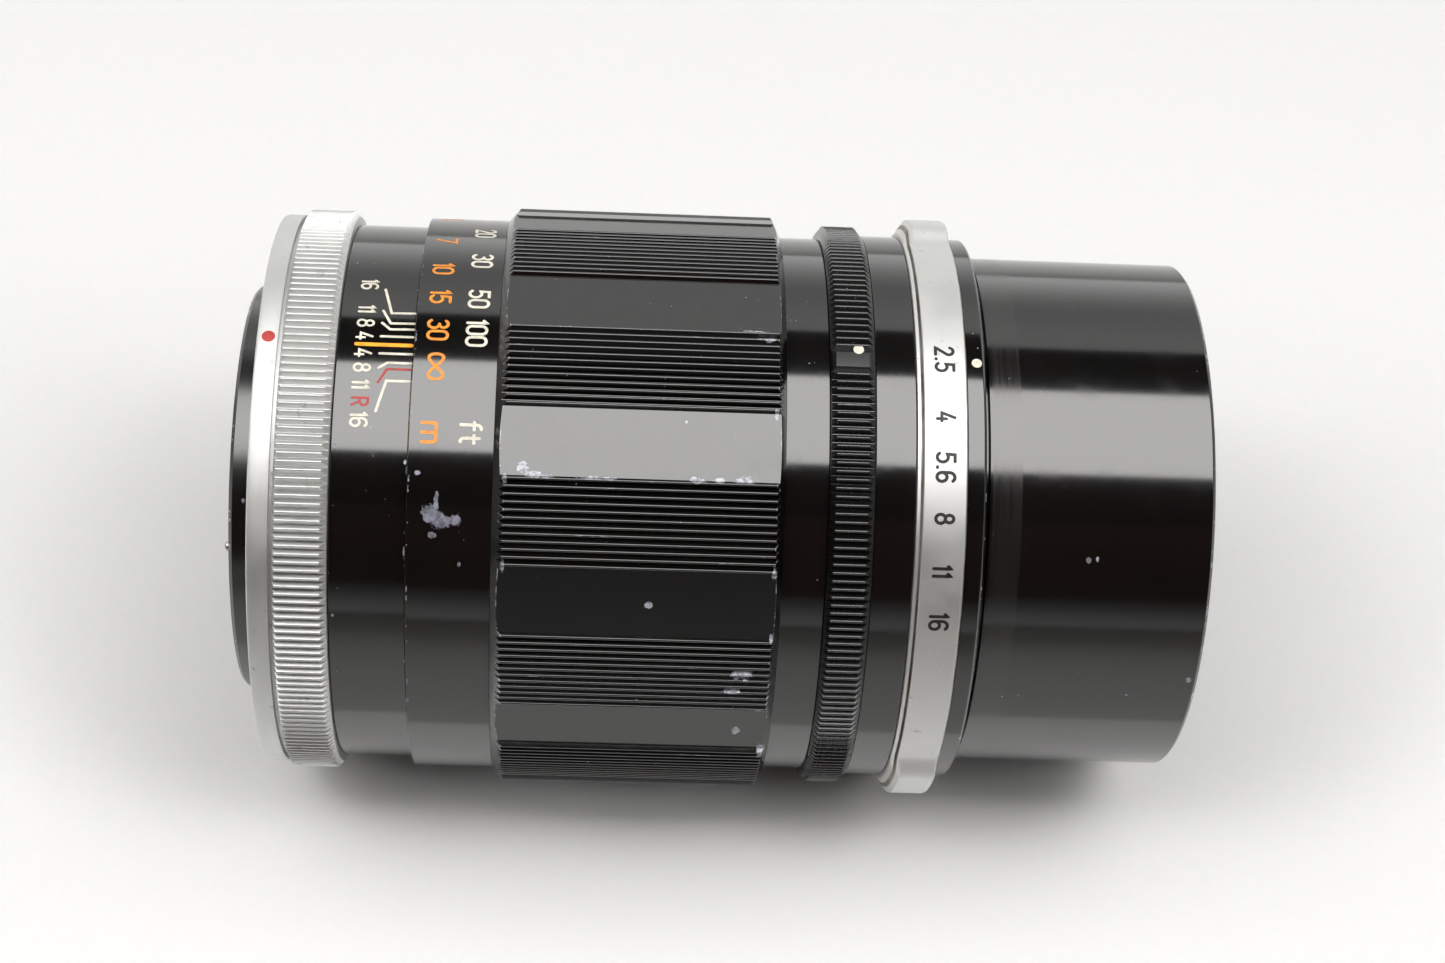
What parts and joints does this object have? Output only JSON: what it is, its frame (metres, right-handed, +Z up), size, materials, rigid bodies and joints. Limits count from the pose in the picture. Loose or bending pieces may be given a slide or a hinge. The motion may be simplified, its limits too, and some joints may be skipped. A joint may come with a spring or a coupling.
{
  "type": "prime camera lens",
  "caption": "Short telephoto lens for a breech-lock mount: knurled locking ring, focusing grip with flats, aperture ring with two ears, iris, front barrel and glass.",
  "frame": {"origin": "on the optical axis, at the plane of the seat that meets the camera", "axes": "+X along the optical axis from the mount to the front rim; +Z up, square to the flat of the grip that the lens lies on; the camera's side is -X"},
  "size_m": [0.1094, 0.0676, 0.0676],
  "materials": {
    "satin_chrome": "satin",
    "bright_steel": "satin",
    "dark_steel": "satin",
    "satin_aluminium": "satin",
    "black_lacquer": "gloss",
    "black_anodise": "matte",
    "brass": "satin",
    "blade_steel": "satin",
    "coated_glass": "polished"
  },
  "bodies": {
    "mount": {"mount_flange": "satin_chrome", "mount_screws": "bright_steel", "locating_pin": "bright_steel", "rear_guard": "black_anodise", "rear_baffle": "black_anodise", "lever_circlip": "bright_steel", "lever_spring": "bright_steel", "main_barrel": "black_lacquer", "guide_keys": "brass", "key_screws": "bright_steel", "focus_retaining_ring": "black_anodise"},
    "breech": {"breech_ring": "satin_chrome", "breech_lug_ring": "bright_steel", "lug_ring_screws": "bright_steel"},
    "focusing": {"distance_scale_ring": "black_lacquer", "focus_grip": "black_lacquer", "focus_helicoid": "brass", "focus_stop_pin": "bright_steel", "grip_screws": "dark_steel"},
    "front_section": {"helicoid_barrel": "black_anodise", "front_barrel": "black_lacquer", "barrel_screws": "dark_steel", "middle_collar": "black_lacquer", "collar_screws": "dark_steel", "index_ring": "black_lacquer", "front_tube": "black_lacquer", "front_bezel": "black_anodise", "front_cell": "black_anodise", "front_retaining_ring": "black_anodise", "front_element": "coated_glass", "second_element": "coated_glass", "third_element": "coated_glass", "fourth_element": "coated_glass", "fifth_element": "coated_glass", "sixth_element": "coated_glass", "rear_cell": "black_anodise", "rear_cell_screws": "bright_steel", "fourth_retaining_ring": "black_anodise", "rear_spacer": "black_anodise", "rear_retaining_ring": "black_anodise", "click_ball": "bright_steel", "click_spring": "bright_steel", "iris_housing": "black_anodise", "iris_circlip": "bright_steel"},
    "mode": {"mode_ring": "black_lacquer"},
    "aperture": {"aperture_ring": "satin_aluminium", "aperture_drive_screw": "bright_steel", "iris_drive_ring": "black_anodise"},
    "stop_down": {"stop_down_ring": "satin_aluminium", "stop_down_pin": "bright_steel", "stop_down_rod": "bright_steel"},
    "fork": {"stop_down_fork": "satin_aluminium"},
    "blade_1": {"iris_blade_1": "blade_steel"},
    "blade_2": {"iris_blade_2": "blade_steel"},
    "blade_3": {"iris_blade_3": "blade_steel"},
    "blade_4": {"iris_blade_4": "blade_steel"},
    "blade_5": {"iris_blade_5": "blade_steel"},
    "blade_6": {"iris_blade_6": "blade_steel"},
    "blade_7": {"iris_blade_7": "blade_steel"},
    "blade_8": {"iris_blade_8": "blade_steel"}
  },
  "joints": [
    {"name": "breech_turn", "type": "hinge", "parent": "mount", "child": "breech", "pos_m": [0, 0, 0], "axis": [1, 0, 0], "range_deg": [-58, 0]},
    {"name": "focus_turn", "type": "hinge", "parent": "mount", "child": "focusing", "pos_m": [0, 0, 0], "axis": [1, 0, 0], "range_deg": [-5.8, 202.7]},
    {"name": "front_slide", "type": "slide", "parent": "mount", "child": "front_section", "axis": [1, 0, 0], "range_m": [-0.00042, 0.0146]},
    {"name": "mode_turn", "type": "hinge", "parent": "front_section", "child": "mode", "pos_m": [0, 0, 0], "axis": [1, 0, 0], "range_deg": [0, 60]},
    {"name": "aperture_turn", "type": "hinge", "parent": "front_section", "child": "aperture", "pos_m": [0, 0, 0], "axis": [1, 0, 0], "range_deg": [-52.3, 0]},
    {"name": "stop_down_turn", "type": "hinge", "parent": "mount", "child": "stop_down", "pos_m": [0, 0, 0], "axis": [1, 0, 0], "range_deg": [0, 25], "stiffness_Nm_per_rad": 0.02, "springref_deg": -17.19},
    {"name": "fork_turn", "type": "hinge", "parent": "front_section", "child": "fork", "pos_m": [0, 0, 0], "axis": [1, 0, 0], "range_deg": [0, 25]},
    {"name": "blade_1_turn", "type": "hinge", "parent": "front_section", "child": "blade_1", "pos_m": [0.06, 0, 0.0254], "axis": [1, 0, 0], "range_deg": [0, 37.44]},
    {"name": "blade_2_turn", "type": "hinge", "parent": "front_section", "child": "blade_2", "pos_m": [0.06, -0.01796, 0.01796], "axis": [1, 0, 0], "range_deg": [0, 37.44]},
    {"name": "blade_3_turn", "type": "hinge", "parent": "front_section", "child": "blade_3", "pos_m": [0.06, -0.0254, 0], "axis": [1, 0, 0], "range_deg": [0, 37.44]},
    {"name": "blade_4_turn", "type": "hinge", "parent": "front_section", "child": "blade_4", "pos_m": [0.06, -0.01796, -0.01796], "axis": [1, 0, 0], "range_deg": [0, 37.44]},
    {"name": "blade_5_turn", "type": "hinge", "parent": "front_section", "child": "blade_5", "pos_m": [0.06, 0, -0.0254], "axis": [1, 0, 0], "range_deg": [0, 37.44]},
    {"name": "blade_6_turn", "type": "hinge", "parent": "front_section", "child": "blade_6", "pos_m": [0.06, 0.01796, -0.01796], "axis": [1, 0, 0], "range_deg": [0, 37.44]},
    {"name": "blade_7_turn", "type": "hinge", "parent": "front_section", "child": "blade_7", "pos_m": [0.06, 0.0254, 0], "axis": [1, 0, 0], "range_deg": [0, 37.44]},
    {"name": "blade_8_turn", "type": "hinge", "parent": "front_section", "child": "blade_8", "pos_m": [0.06, 0.01796, 0.01796], "axis": [1, 0, 0], "range_deg": [0, 37.44]}
  ],
  "couplings": [
    {"joint": "front_slide", "follows": "focus_turn", "m_per_rad": 0.004122},
    {"joint": "fork_turn", "follows": "stop_down_turn", "ratio": 1},
    {"joint": "blade_1_turn", "follows": "aperture_turn", "ratio": -0.71498},
    {"joint": "blade_2_turn", "follows": "aperture_turn", "ratio": -0.71498},
    {"joint": "blade_3_turn", "follows": "aperture_turn", "ratio": -0.71498},
    {"joint": "blade_4_turn", "follows": "aperture_turn", "ratio": -0.71498},
    {"joint": "blade_5_turn", "follows": "aperture_turn", "ratio": -0.71498},
    {"joint": "blade_6_turn", "follows": "aperture_turn", "ratio": -0.71498},
    {"joint": "blade_7_turn", "follows": "aperture_turn", "ratio": -0.71498},
    {"joint": "blade_8_turn", "follows": "aperture_turn", "ratio": -0.71498}
  ]
}
